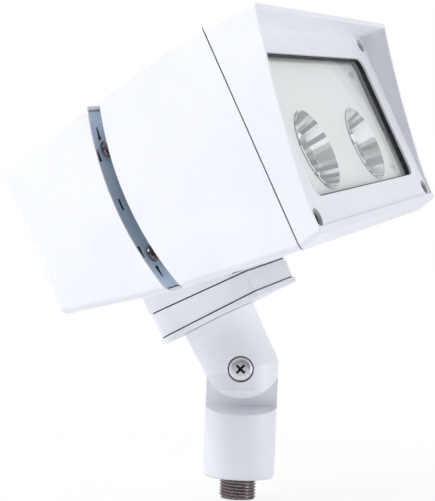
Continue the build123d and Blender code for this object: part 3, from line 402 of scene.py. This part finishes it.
def screwTree():
    tree, ids = newTree("crossHeadScrews", {
        "Head Radius": "Float", "Head Height": "Float", "Dome": "Float", "Shank Radius": "Float",
        "Shank Length": "Float", "Cross Length": "Float", "Cross Width": "Float", "Cross Depth": "Float",
        "Turn": "Float", "Segments": "Int", "Rows": "Int", "Metal": "Material", "Recess": "Material"})
    given = tree.nodes.new("NodeGroupInput")
    across = addNode(tree, "ShaderNodeMath", {"operation": "ADD", 1: 1.0}, {0: given.outputs["Segments"]})
    down = addNode(tree, "ShaderNodeMath", {"operation": "ADD", 1: 2.0}, {0: given.outputs["Rows"]})
    sheet = addNode(tree, "GeometryNodeMeshGrid", {"Size X": 1.0, "Size Y": 1.0},
                    {"Vertices X": across.outputs[0], "Vertices Y": down.outputs[0]})
    position = tree.nodes.new("GeometryNodeInputPosition")
    split = addNode(tree, "ShaderNodeSeparateXYZ", None, {0: position.outputs[0]})
    angle = addNode(tree, "ShaderNodeMath", {"operation": "MULTIPLY", 1: 2 * pi}, {0: split.outputs["X"]})
    run = addNode(tree, "ShaderNodeMath", {"operation": "ADD", 1: 0.5}, {0: split.outputs["Y"]})
    # the first row is the middle of the underside, the rest climb the dome
    step = addNode(tree, "ShaderNodeMath", {"operation": "MULTIPLY"}, {0: run.outputs[0], 1: down.outputs[0]})
    climb = addNode(tree, "ShaderNodeMapRange", {"From Min": headMesh["domeFrom"], "To Max": pi / 2}, {
        "Value": step.outputs[0], "From Max": down.outputs[0]})
    rim = addNode(tree, "ShaderNodeMath", {"operation": "GREATER_THAN", 1: headMesh["middleTo"]},
                  {0: step.outputs[0]})
    cosine = addNode(tree, "ShaderNodeMath", {"operation": "COSINE"}, {0: climb.outputs["Result"]})
    sine = addNode(tree, "ShaderNodeMath", {"operation": "SINE"}, {0: climb.outputs["Result"]})
    flatter = addNode(tree, "ShaderNodeMath", {"operation": "POWER"}, {0: cosine.outputs[0],
                      1: given.outputs["Dome"]})
    higher = addNode(tree, "ShaderNodeMath", {"operation": "POWER"}, {
        0: sine.outputs[0], 1: given.outputs["Dome"]})
    kept = addNode(tree, "ShaderNodeMath", {"operation": "MULTIPLY"}, {
        0: flatter.outputs[0], 1: rim.outputs[0]})
    radius = addNode(tree, "ShaderNodeMath", {"operation": "MULTIPLY"}, {0: kept.outputs[0],
                     1: given.outputs["Head Radius"]})
    height = addNode(tree, "ShaderNodeMath", {"operation": "MULTIPLY"}, {0: higher.outputs[0],
                     1: given.outputs["Head Height"]})
    east = addNode(tree, "ShaderNodeMath", {"operation": "COSINE"}, {0: angle.outputs[0]})
    north = addNode(tree, "ShaderNodeMath", {"operation": "SINE"}, {0: angle.outputs[0]})
    x = addNode(tree, "ShaderNodeMath", {"operation": "MULTIPLY"}, {0: east.outputs[0], 1: radius.outputs[0]})
    y = addNode(tree, "ShaderNodeMath", {"operation": "MULTIPLY"}, {
        0: north.outputs[0], 1: radius.outputs[0]})
    point = addNode(tree, "ShaderNodeCombineXYZ", None, {"X": x.outputs[0], "Y": y.outputs[0],
                    "Z": height.outputs[0]})
    bent = addNode(tree, "GeometryNodeSetPosition", None, {"Geometry": sheet.outputs["Mesh"],
                   "Position": point.outputs[0]})
    dome = addNode(tree, "GeometryNodeMergeByDistance", {"Distance": headMesh["weld"]},
                   {"Geometry": bent.outputs[0]})
    # cross recess: two bars cut down into the dome
    bar = addNode(tree, "ShaderNodeCombineXYZ", None, {"X": given.outputs["Cross Length"],
                  "Y": given.outputs["Cross Width"], "Z": given.outputs["Head Height"]})
    cube = addNode(tree, "GeometryNodeMeshCube", None, {"Size": bar.outputs[0]})
    sink = addNode(tree, "ShaderNodeMath", {"operation": "MULTIPLY_ADD", 1: recess["cutterMiddle"]}, {
        0: given.outputs["Head Height"]})
    drop = addNode(tree, "ShaderNodeMath", {"operation": "MULTIPLY", 1: -1.0}, {
        0: given.outputs["Cross Depth"]})
    tree.links.new(drop.outputs[0], sink.inputs[2])
    lift = addNode(tree, "ShaderNodeCombineXYZ", None, {"Z": sink.outputs[0]})
    # dark bars inside the recess as painted shade, where hardly any light reaches
    low = addNode(tree, "ShaderNodeMath", {"operation": "MULTIPLY_ADD", 1: -recess["barMiddle"]}, {
        0: given.outputs["Cross Depth"], 2: given.outputs["Head Height"]})
    middle = addNode(tree, "ShaderNodeCombineXYZ", None, {"Z": low.outputs[0]})
    thin = addNode(tree, "ShaderNodeMath", {"operation": "MULTIPLY", 1: recess["barHeight"]}, {
        0: given.outputs["Cross Depth"]})
    shadeBarSize = addNode(tree, "ShaderNodeCombineXYZ", None, {"X": given.outputs["Cross Length"],
                     "Y": given.outputs["Cross Width"], "Z": thin.outputs[0]})
    shadeBar = addNode(tree, "GeometryNodeMeshCube", None, {"Size": shadeBarSize.outputs[0]})
    shadeBars = tree.nodes.new("GeometryNodeJoinGeometry")
    cuts = []
    for quarter in (0.0, pi / 2):
        swing = addNode(tree, "ShaderNodeMath", {"operation": "ADD", 1: quarter}, {0: given.outputs["Turn"]})
        spin = addNode(tree, "ShaderNodeCombineXYZ", None, {"Z": swing.outputs[0]})
        cuts.append(addNode(tree, "GeometryNodeTransform", None, {
            "Geometry": cube.outputs["Mesh"], "Translation": lift.outputs[0], "Rotation": spin.outputs[0]}))
        laid = addNode(tree, "GeometryNodeTransform", None, {
            "Geometry": shadeBar.outputs["Mesh"], "Translation": middle.outputs[0], "Rotation": spin.outputs[0]})
        tree.links.new(laid.outputs[0], shadeBars.inputs[0])
    cut = addNode(tree, "GeometryNodeMeshBoolean", {"operation": "DIFFERENCE", "solver": "EXACT"}, {
        "Mesh 1": dome.outputs[0]})
    for one in cuts:
        tree.links.new(one.outputs[0], cut.inputs["Mesh 2"])
    shank = addNode(tree, "GeometryNodeMeshCylinder", {"Vertices": headMesh["shankSides"]}, {
        "Radius": given.outputs["Shank Radius"], "Depth": given.outputs["Shank Length"]})
    half = addNode(tree, "ShaderNodeMath", {"operation": "MULTIPLY", 1: -0.5}, {
        0: given.outputs["Shank Length"]})
    below = addNode(tree, "ShaderNodeCombineXYZ", None, {"Z": half.outputs[0]})
    shank = addNode(tree, "GeometryNodeTransform", None, {"Geometry": shank.outputs["Mesh"],
                    "Translation": below.outputs[0]})
    whole = tree.nodes.new("GeometryNodeJoinGeometry")
    tree.links.new(cut.outputs["Mesh"], whole.inputs[0])
    tree.links.new(shank.outputs[0], whole.inputs[0])
    soft = smoothSides(tree, whole.outputs[0])
    spread = addNode(tree, "GeometryNodeInstanceOnPoints", None, {
        "Points": given.outputs["Geometry"], "Instance": soft})
    shadeBarsSpread = addNode(tree, "GeometryNodeInstanceOnPoints", None, {
        "Points": given.outputs["Geometry"], "Instance": shadeBars.outputs[0]})
    finishTree(tree, [
        (spread.outputs[0], given.outputs["Metal"]),
        (shadeBarsSpread.outputs[0], given.outputs["Recess"]),
    ])
    return tree, ids


def outward(frame, axis):
    # the frame turned so that its Z runs out along one of its own axes
    turns = {"-X": Matrix.Rotation(-pi / 2, 4, "Y"), "-Y": Matrix.Rotation(pi / 2, 4, "X")}
    return frame @ turns[axis]


# seats, heads, shanks and crosses in metres, the spots on the seat in millimetres
screws = {
    "tilt_screw": {
        "frame": Matrix.Translation((0, 0, place["pivotHeight"])), "seat": (-0.01785, 0, 0),
        "axis": "-X", "body": "arm",
        "spots": [(0, 0)], "head": (0.0069, 0.004), "dome": 0.42, "shank": (0.004, 0.037),
        "cross": (0.0066, 0.0015, 0.0022), "turn": 0.85, "metal": zincSteel, "slot": "plated_steel"},
    "driver_cover_screws": {
        "frame": headFrame, "seat": (0, 0.08005, 0), "axis": "-Y", "body": "head",
        "spots": [(-98.5, -29.4), (98.5, -29.4), (-98.5, 29.4), (98.5, 29.4)],
        "head": (0.0046, 0.0022), "dome": 0.7, "shank": (0.0019, 0.016),
        "cross": (0.005, 0.001, 0.0014), "turn": 0.5, "metal": gunSteel, "slot": "plated_steel"},
    # the door screws' heads are near black as painted shade, for heads that sit in shaded counterbores
    "door_screws": {
        "frame": headFrame, "seat": (0, -0.0083, 0), "axis": "-Y", "body": "head",
        "spots": [(-102, 49.6), (102, 49.6), (-102, -48.5), (102, -48.5)],
        "head": (0.0042, 0.0019), "dome": 0.6, "shank": (0.00165, 0.019),
        "cross": (0.0046, 0.0011, 0.0013), "turn": 0.3, "metal": shadeDarkSteel, "slot": "black_screw"},
    "reflector_tray_screws": {
        "frame": headFrame, "seat": (0, -0.0052, 0), "axis": "-Y", "body": "head",
        "spots": [(-76, -31), (76, -31), (-76, 31), (76, 31)],
        "head": (0.0028, 0.0009), "dome": 0.5, "shank": (0.00125, 0.009),
        "cross": (0.003, 0.0007, 0.0006), "turn": 0.9, "metal": zincSteel, "slot": "plated_steel"},
}
screwMaker, screwIds = screwTree()
for name, screw in screws.items():
    seat = screw["frame"] @ Matrix.Translation(screw["seat"])
    spots = pointsMesh(name + "Spots", [(x / 1000, z / 1000, 0) for x, z in screw["spots"]])
    piece = bakeTree("crossHead_" + name, screwMaker, screwIds, {
        "Head Radius": screw["head"][0], "Head Height": screw["head"][1], "Dome": screw["dome"],
        "Shank Radius": screw["shank"][0], "Shank Length": screw["shank"][1],
        "Cross Length": screw["cross"][0], "Cross Width": screw["cross"][1],
        "Cross Depth": screw["cross"][2], "Turn": screw["turn"],
        "Segments": headMesh["segments"], "Rows": headMesh["rows"],
        # the bars in each cross recess take the near-black steel as painted shade
        "Metal": screw["metal"], "Recess": shadeDarkSteel},
        outward(seat, screw["axis"]), screw["body"], spots)
    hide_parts(name)
print("screws made:", len(screws))


# Slot shades: near-black plates on the floors of the driver cover's short slots, along its curve, as painted
# shade in the slots
slotShades = {
    "places": [(0.101, -0.0395), (0.1062, -0.027), (0.1015, 0.0001), (0.1064, 0.0271), (0.1015, 0.0382)],
    "size": (0.0023, 0.0064, 0.0009), "arcCentre": -0.085, "arcRadius": 0.1687, "sunk": 0.0006,
}


def slotTree():
    tree, ids = newTree("slotShades", {"Size": "Vector", "Shade Material": "Material"})
    given = tree.nodes.new("NodeGroupInput")
    plate = addNode(tree, "GeometryNodeMeshCube", None, {"Size": given.outputs["Size"]})
    laid = addNode(tree, "GeometryNodeInstanceOnPoints", None, {
        "Points": given.outputs["Geometry"], "Instance": plate.outputs["Mesh"]})
    finishTree(tree, [(laid.outputs[0], given.outputs["Shade Material"])])
    return tree, ids


slotMaker, slotIds = slotTree()
slotSpots = []
for side in (-1, 1):
    for x, z in slotShades["places"]:
        curve = (slotShades["arcRadius"] ** 2 - z ** 2) ** 0.5
        back = slotShades["arcCentre"] + curve + slotShades["sunk"]
        slotSpots.append((side * x, z, -back))
# the slot plates take the rubber's near black as painted shade
piece = bakeTree("slotShades", slotMaker, slotIds, {"Size": slotShades["size"], "Shade Material": rubberAndSlotShade},
                 outward(headFrame, "-Y"), "head", pointsMesh("slotSpots", slotSpots))
print("slot floors made:", len(slotSpots))


# Thread: a helical ridge around the nipple's tube
thread = {
    "pitch": 0.001814, "crest": 0.01044, "root": 0.00972, "bore": 0.0075, "length": 0.0117,
    "end": 0.0124, "top": 0.0079, "crestWidth": 0.0004, "rootWidth": 0.0015,
    "helixSteps": 64, "tubeSides": 72,
}


def threadTree():
    tree, ids = newTree("pipeThread", {
        "Pitch": "Float", "Crest": "Float", "Root": "Float", "Bore": "Float", "Length": "Float",
        "End": "Float", "Top": "Float", "Crest Width": "Float", "Root Width": "Float", "Metal": "Material"})
    given = tree.nodes.new("NodeGroupInput")
    turns = addNode(tree, "ShaderNodeMath", {"operation": "DIVIDE"}, {0: given.outputs["Length"],
                    1: given.outputs["Pitch"]})
    deep = addNode(tree, "ShaderNodeMath", {"operation": "SUBTRACT"}, {0: given.outputs["Crest"],
                   1: given.outputs["Root"]})
    middle = addNode(tree, "ShaderNodeMath", {"operation": "MULTIPLY_ADD", 1: 0.5}, {
        0: deep.outputs[0], 2: given.outputs["Root"]})
    helix = addNode(tree, "GeometryNodeCurveSpiral", {"Resolution": thread["helixSteps"]}, {
        "Rotations": turns.outputs[0], "Start Radius": middle.outputs[0], "End Radius": middle.outputs[0],
        "Height": given.outputs["Length"]})
    level = addNode(tree, "GeometryNodeSetCurveNormal", {"mode": "Z_UP"}, {"Curve": helix.outputs[0]})
    ridge = addNode(tree, "GeometryNodeCurvePrimitiveQuadrilateral", {"mode": "TRAPEZOID", "Offset": 0.0}, {
        "Bottom Width": given.outputs["Root Width"], "Top Width": given.outputs["Crest Width"],
        "Height": deep.outputs[0]})
    wound = addNode(tree, "GeometryNodeCurveToMesh", {"Fill Caps": True}, {
        "Curve": level.outputs[0], "Profile Curve": ridge.outputs[0]})
    drop = addNode(tree, "ShaderNodeMath", {"operation": "MULTIPLY", 1: -1.0}, {0: given.outputs["Length"]})
    down = addNode(tree, "ShaderNodeCombineXYZ", None, {"Z": drop.outputs[0]})
    wound = addNode(tree, "GeometryNodeTransform", None, {"Geometry": wound.outputs[0],
                    "Translation": down.outputs[0]})
    # the tube's own wall, swept round as a rectangle
    wall = addNode(tree, "ShaderNodeMath", {"operation": "SUBTRACT"}, {0: given.outputs["Root"],
                   1: given.outputs["Bore"]})
    centre = addNode(tree, "ShaderNodeMath", {"operation": "MULTIPLY_ADD", 1: 0.5}, {
        0: wall.outputs[0], 2: given.outputs["Bore"]})
    tall = addNode(tree, "ShaderNodeMath", {"operation": "ADD"}, {
        0: given.outputs["End"], 1: given.outputs["Top"]})
    ring = addNode(tree, "GeometryNodeCurvePrimitiveCircle", {"Resolution": thread["tubeSides"]}, {
        "Radius": centre.outputs[0]})
    section = addNode(tree, "GeometryNodeCurvePrimitiveQuadrilateral", {"mode": "RECTANGLE"}, {
        "Width": wall.outputs[0], "Height": tall.outputs[0]})
    tube = addNode(tree, "GeometryNodeCurveToMesh", None, {
        "Curve": ring.outputs[0], "Profile Curve": section.outputs[0]})
    lift = addNode(tree, "ShaderNodeMath", {"operation": "SUBTRACT"}, {0: given.outputs["Top"],
                   1: given.outputs["End"]})
    lift = addNode(tree, "ShaderNodeMath", {"operation": "MULTIPLY", 1: 0.5}, {0: lift.outputs[0]})
    up = addNode(tree, "ShaderNodeCombineXYZ", None, {"Z": lift.outputs[0]})
    tube = addNode(tree, "GeometryNodeTransform", None, {
        "Geometry": tube.outputs[0], "Translation": up.outputs[0]})
    whole = tree.nodes.new("GeometryNodeJoinGeometry")
    tree.links.new(wound.outputs[0], whole.inputs[0])
    tree.links.new(tube.outputs[0], whole.inputs[0])
    finishTree(tree, [(smoothSides(tree, whole.outputs[0]), given.outputs["Metal"])])
    return tree, ids


threadMaker, threadIds = threadTree()
piece = bakeTree("pipeThread", threadMaker, threadIds, {
    "Pitch": thread["pitch"], "Crest": thread["crest"], "Root": thread["root"], "Bore": thread["bore"],
    "Length": thread["length"], "End": thread["end"], "Top": thread["top"],
    "Crest Width": thread["crestWidth"], "Root Width": thread["rootWidth"], "Metal": gunSteel},
    Matrix.Identity(4), "knuckle")
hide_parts("threaded_nipple")
print("thread made")


# Reflectors: faceted bowls
bowl = {
    "rimRadius": 0.022, "throatRadius": 0.0074, "depth": 0.0182, "fullness": 2.7, "sheet": 0.0005,
    "facets": 44, "rings": 4, "rimDepth": 0.0062, "x": 0.043, "z": -0.013, "seed": 4,
    "weld": 0.00001,
}


def bowlTree():
    tree, ids = newTree("facetedBowl", {
        "Rim Radius": "Float", "Throat Radius": "Float", "Depth": "Float", "Fullness": "Float",
        "Facets": "Int", "Rings": "Int", "Seed": "Int", "Metal": "Material"})
    given = tree.nodes.new("NodeGroupInput")
    across = addNode(tree, "ShaderNodeMath", {"operation": "ADD", 1: 1.0}, {0: given.outputs["Facets"]})
    down = addNode(tree, "ShaderNodeMath", {"operation": "ADD", 1: 1.0}, {0: given.outputs["Rings"]})
    sheet = addNode(tree, "GeometryNodeMeshGrid", {"Size X": 1.0, "Size Y": 1.0},
                    {"Vertices X": across.outputs[0], "Vertices Y": down.outputs[0]})
    position = tree.nodes.new("GeometryNodeInputPosition")
    split = addNode(tree, "ShaderNodeSeparateXYZ", None, {0: position.outputs[0]})
    angle = addNode(tree, "ShaderNodeMath", {"operation": "MULTIPLY", 1: 2 * pi}, {0: split.outputs["X"]})
    run = addNode(tree, "ShaderNodeMath", {"operation": "ADD", 1: 0.5}, {0: split.outputs["Y"]})
    radius = addNode(tree, "ShaderNodeMapRange", None, {
        "Value": run.outputs[0], "To Min": given.outputs["Rim Radius"],
        "To Max": given.outputs["Throat Radius"]})
    share = addNode(tree, "ShaderNodeMath", {"operation": "SUBTRACT", 0: 1.0}, {1: run.outputs[0]})
    curve = addNode(tree, "ShaderNodeMath", {"operation": "POWER"}, {0: share.outputs[0],
                    1: given.outputs["Fullness"]})
    hollow = addNode(tree, "ShaderNodeMath", {"operation": "SUBTRACT", 0: 1.0}, {1: curve.outputs[0]})
    deep = addNode(tree, "ShaderNodeMath", {"operation": "MULTIPLY"}, {0: hollow.outputs[0],
                   1: given.outputs["Depth"]})
    cosine = addNode(tree, "ShaderNodeMath", {"operation": "COSINE"}, {0: angle.outputs[0]})
    sine = addNode(tree, "ShaderNodeMath", {"operation": "SINE"}, {0: angle.outputs[0]})
    px = addNode(tree, "ShaderNodeMath", {"operation": "MULTIPLY"}, {
        0: cosine.outputs[0], 1: radius.outputs[0]})
    pz = addNode(tree, "ShaderNodeMath", {"operation": "MULTIPLY"}, {
        0: sine.outputs[0], 1: radius.outputs[0]})
    point = addNode(tree, "ShaderNodeCombineXYZ", None, {"X": px.outputs[0], "Y": deep.outputs[0],
                    "Z": pz.outputs[0]})
    bent = addNode(tree, "GeometryNodeSetPosition", None, {"Geometry": sheet.outputs["Mesh"],
                   "Position": point.outputs[0]})
    merged = addNode(tree, "GeometryNodeMergeByDistance", {"Distance": bowl["weld"]}, {
        "Geometry": bent.outputs[0]})
    # one random value for each facet, which picks its painted reflection
    paintedReflection = addNode(tree, "FunctionNodeRandomValue", {"data_type": "FLOAT"}, {"Seed": given.outputs["Seed"]})
    stored = addNode(tree, "GeometryNodeStoreNamedAttribute", {"data_type": "FLOAT", "domain": "FACE",
                     "Name": "facetPaintedReflection"}, {"Geometry": merged.outputs[0], "Value": paintedReflection.outputs[1]})
    flat = addNode(tree, "GeometryNodeSetShadeSmooth", {"Shade Smooth": False}, {
        "Geometry": stored.outputs[0]})
    finishTree(tree, [(flat.outputs[0], given.outputs["Metal"])])
    return tree, ids


bowlMaker, bowlIds = bowlTree()
for side, name in ((-1, "left"), (1, "right")):
    spot = headFrame @ Matrix.Translation((side * bowl["x"], -bowl["rimDepth"], bowl["z"]))
    piece = bakeTree("reflectorBowl_" + name, bowlMaker, bowlIds, {
        "Rim Radius": bowl["rimRadius"], "Throat Radius": bowl["throatRadius"], "Depth": bowl["depth"],
        "Fullness": bowl["fullness"], "Facets": bowl["facets"], "Rings": bowl["rings"],
        "Seed": bowl["seed"] + side, "Metal": reflectorMetal}, spot, "head")
    skin = piece.modifiers.new("skin", "SOLIDIFY")
    skin.thickness = bowl["sheet"]
    skin.offset = -1
    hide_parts("reflector_" + name)
print("reflectors made")


# Floor, backdrop and lamps
studio = {
    "floorHeight": -0.0135, "floorSize": 8.0, "floorColour": "#F6F6F6",
    "shadowKept": 0.15, "fadeFrom": 0.1, "fadeTo": 0.5,
    "roomLight": 0.9, "roomTint": "#FAFCFF", "curtainLight": 0.05,
    "curtainTowards": (-1.0, -0.06, 0.02), "curtainEdge": 72, "curtainCore": 32,
}


def shadowFloor():
    # white sweep: glows for the camera, so only the object's shadow tells it from the background
    material, tree, output = newMaterial("paleFloor")
    rays = addNode(tree, "ShaderNodeLightPath")
    coords = addNode(tree, "ShaderNodeTexCoord")
    away = addNode(tree, "ShaderNodeVectorMath", {"operation": "LENGTH"}, {0: coords.outputs["Object"]})
    share = addNode(tree, "ShaderNodeMapRange", {
        "From Min": studio["fadeFrom"], "From Max": studio["fadeTo"], "To Min": 1 - studio["shadowKept"],
        "To Max": 1.0}, {"Value": away.outputs["Value"]})
    seen = addNode(tree, "ShaderNodeMath", {"operation": "MULTIPLY"}, {
        0: rays.outputs["Is Camera Ray"], 1: share.outputs["Result"]})
    matt = addNode(tree, "ShaderNodeBsdfDiffuse", {"Color": toLinear(studio["floorColour"])})
    glow = addNode(tree, "ShaderNodeEmission", {"Color": (1, 1, 1, 1), "Strength": 1.0})
    mix = addNode(tree, "ShaderNodeMixShader", None, {
        0: seen.outputs[0], 1: matt.outputs[0], 2: glow.outputs[0]})
    tree.links.new(mix.outputs[0], output.inputs["Surface"])
    mesh = bpy.data.meshes.new("floor")
    half = studio["floorSize"] / 2
    corners = [(-half, -half, 0), (half, -half, 0), (half, half, 0), (-half, half, 0)]
    mesh.from_pydata(corners, [], [(0, 1, 2, 3)])
    mesh.materials.append(material)
    floor = bpy.data.objects.new("floor", mesh)
    floor.location.z = studio["floorHeight"]
    bpy.context.scene.collection.objects.link(floor)


def studioRoom():
    # white for the camera; for the rest a bright room with a dark curtain behind the photographer
    world = bpy.data.worlds.new("studio")
    bpy.context.scene.world = world
    world.use_nodes = True
    tree = world.node_tree
    tree.nodes.clear()
    rays = addNode(tree, "ShaderNodeLightPath")
    coords = addNode(tree, "ShaderNodeTexCoord")
    curtain = tuple(Vector(studio["curtainTowards"]).normalized())
    towards = addNode(tree, "ShaderNodeVectorMath", {"operation": "DOT_PRODUCT", 1: curtain},
                      {0: coords.outputs["Generated"]})
    light = addNode(tree, "ShaderNodeMapRange", {
        "interpolation_type": "SMOOTHSTEP", "From Min": cos(radians(studio["curtainEdge"])),
        "From Max": cos(radians(studio["curtainCore"])), "To Min": studio["roomLight"],
        "To Max": studio["curtainLight"]}, {"Value": towards.outputs["Value"]})
    room = addNode(tree, "ShaderNodeBackground", {"Color": toLinear(studio["roomTint"])},
                   {"Strength": light.outputs["Result"]})
    backdrop = addNode(tree, "ShaderNodeBackground", {"Color": (1, 1, 1, 1), "Strength": 1.0})
    mix = addNode(tree, "ShaderNodeMixShader", None, {
        0: rays.outputs["Is Camera Ray"], 1: room.outputs[0], 2: backdrop.outputs[0]})
    addNode(tree, "ShaderNodeOutputWorld", None, {"Surface": mix.outputs[0]})


shadowFloor()
studioRoom()
lampTarget = Vector((-0.03, -0.03, 0.14))
lamps = {
    "keySoftbox": {"place": (-0.75, 0.75, 0.85), "size": 0.6, "power": 9.0},
    "farSoftbox": {"place": (-0.25, -1.0, 0.1), "size": 0.4, "power": 2.8},
}
for name, lamp in lamps.items():
    light = bpy.data.lights.new(name, "AREA")
    light.size = lamp["size"]
    light.energy = lamp["power"]
    holder = bpy.data.objects.new(name, light)
    holder.matrix_world = aimed(lamp["place"], lampTarget - Vector(lamp["place"]), (0, 0, 1))
    bpy.context.scene.collection.objects.link(holder)
print("studio ready")
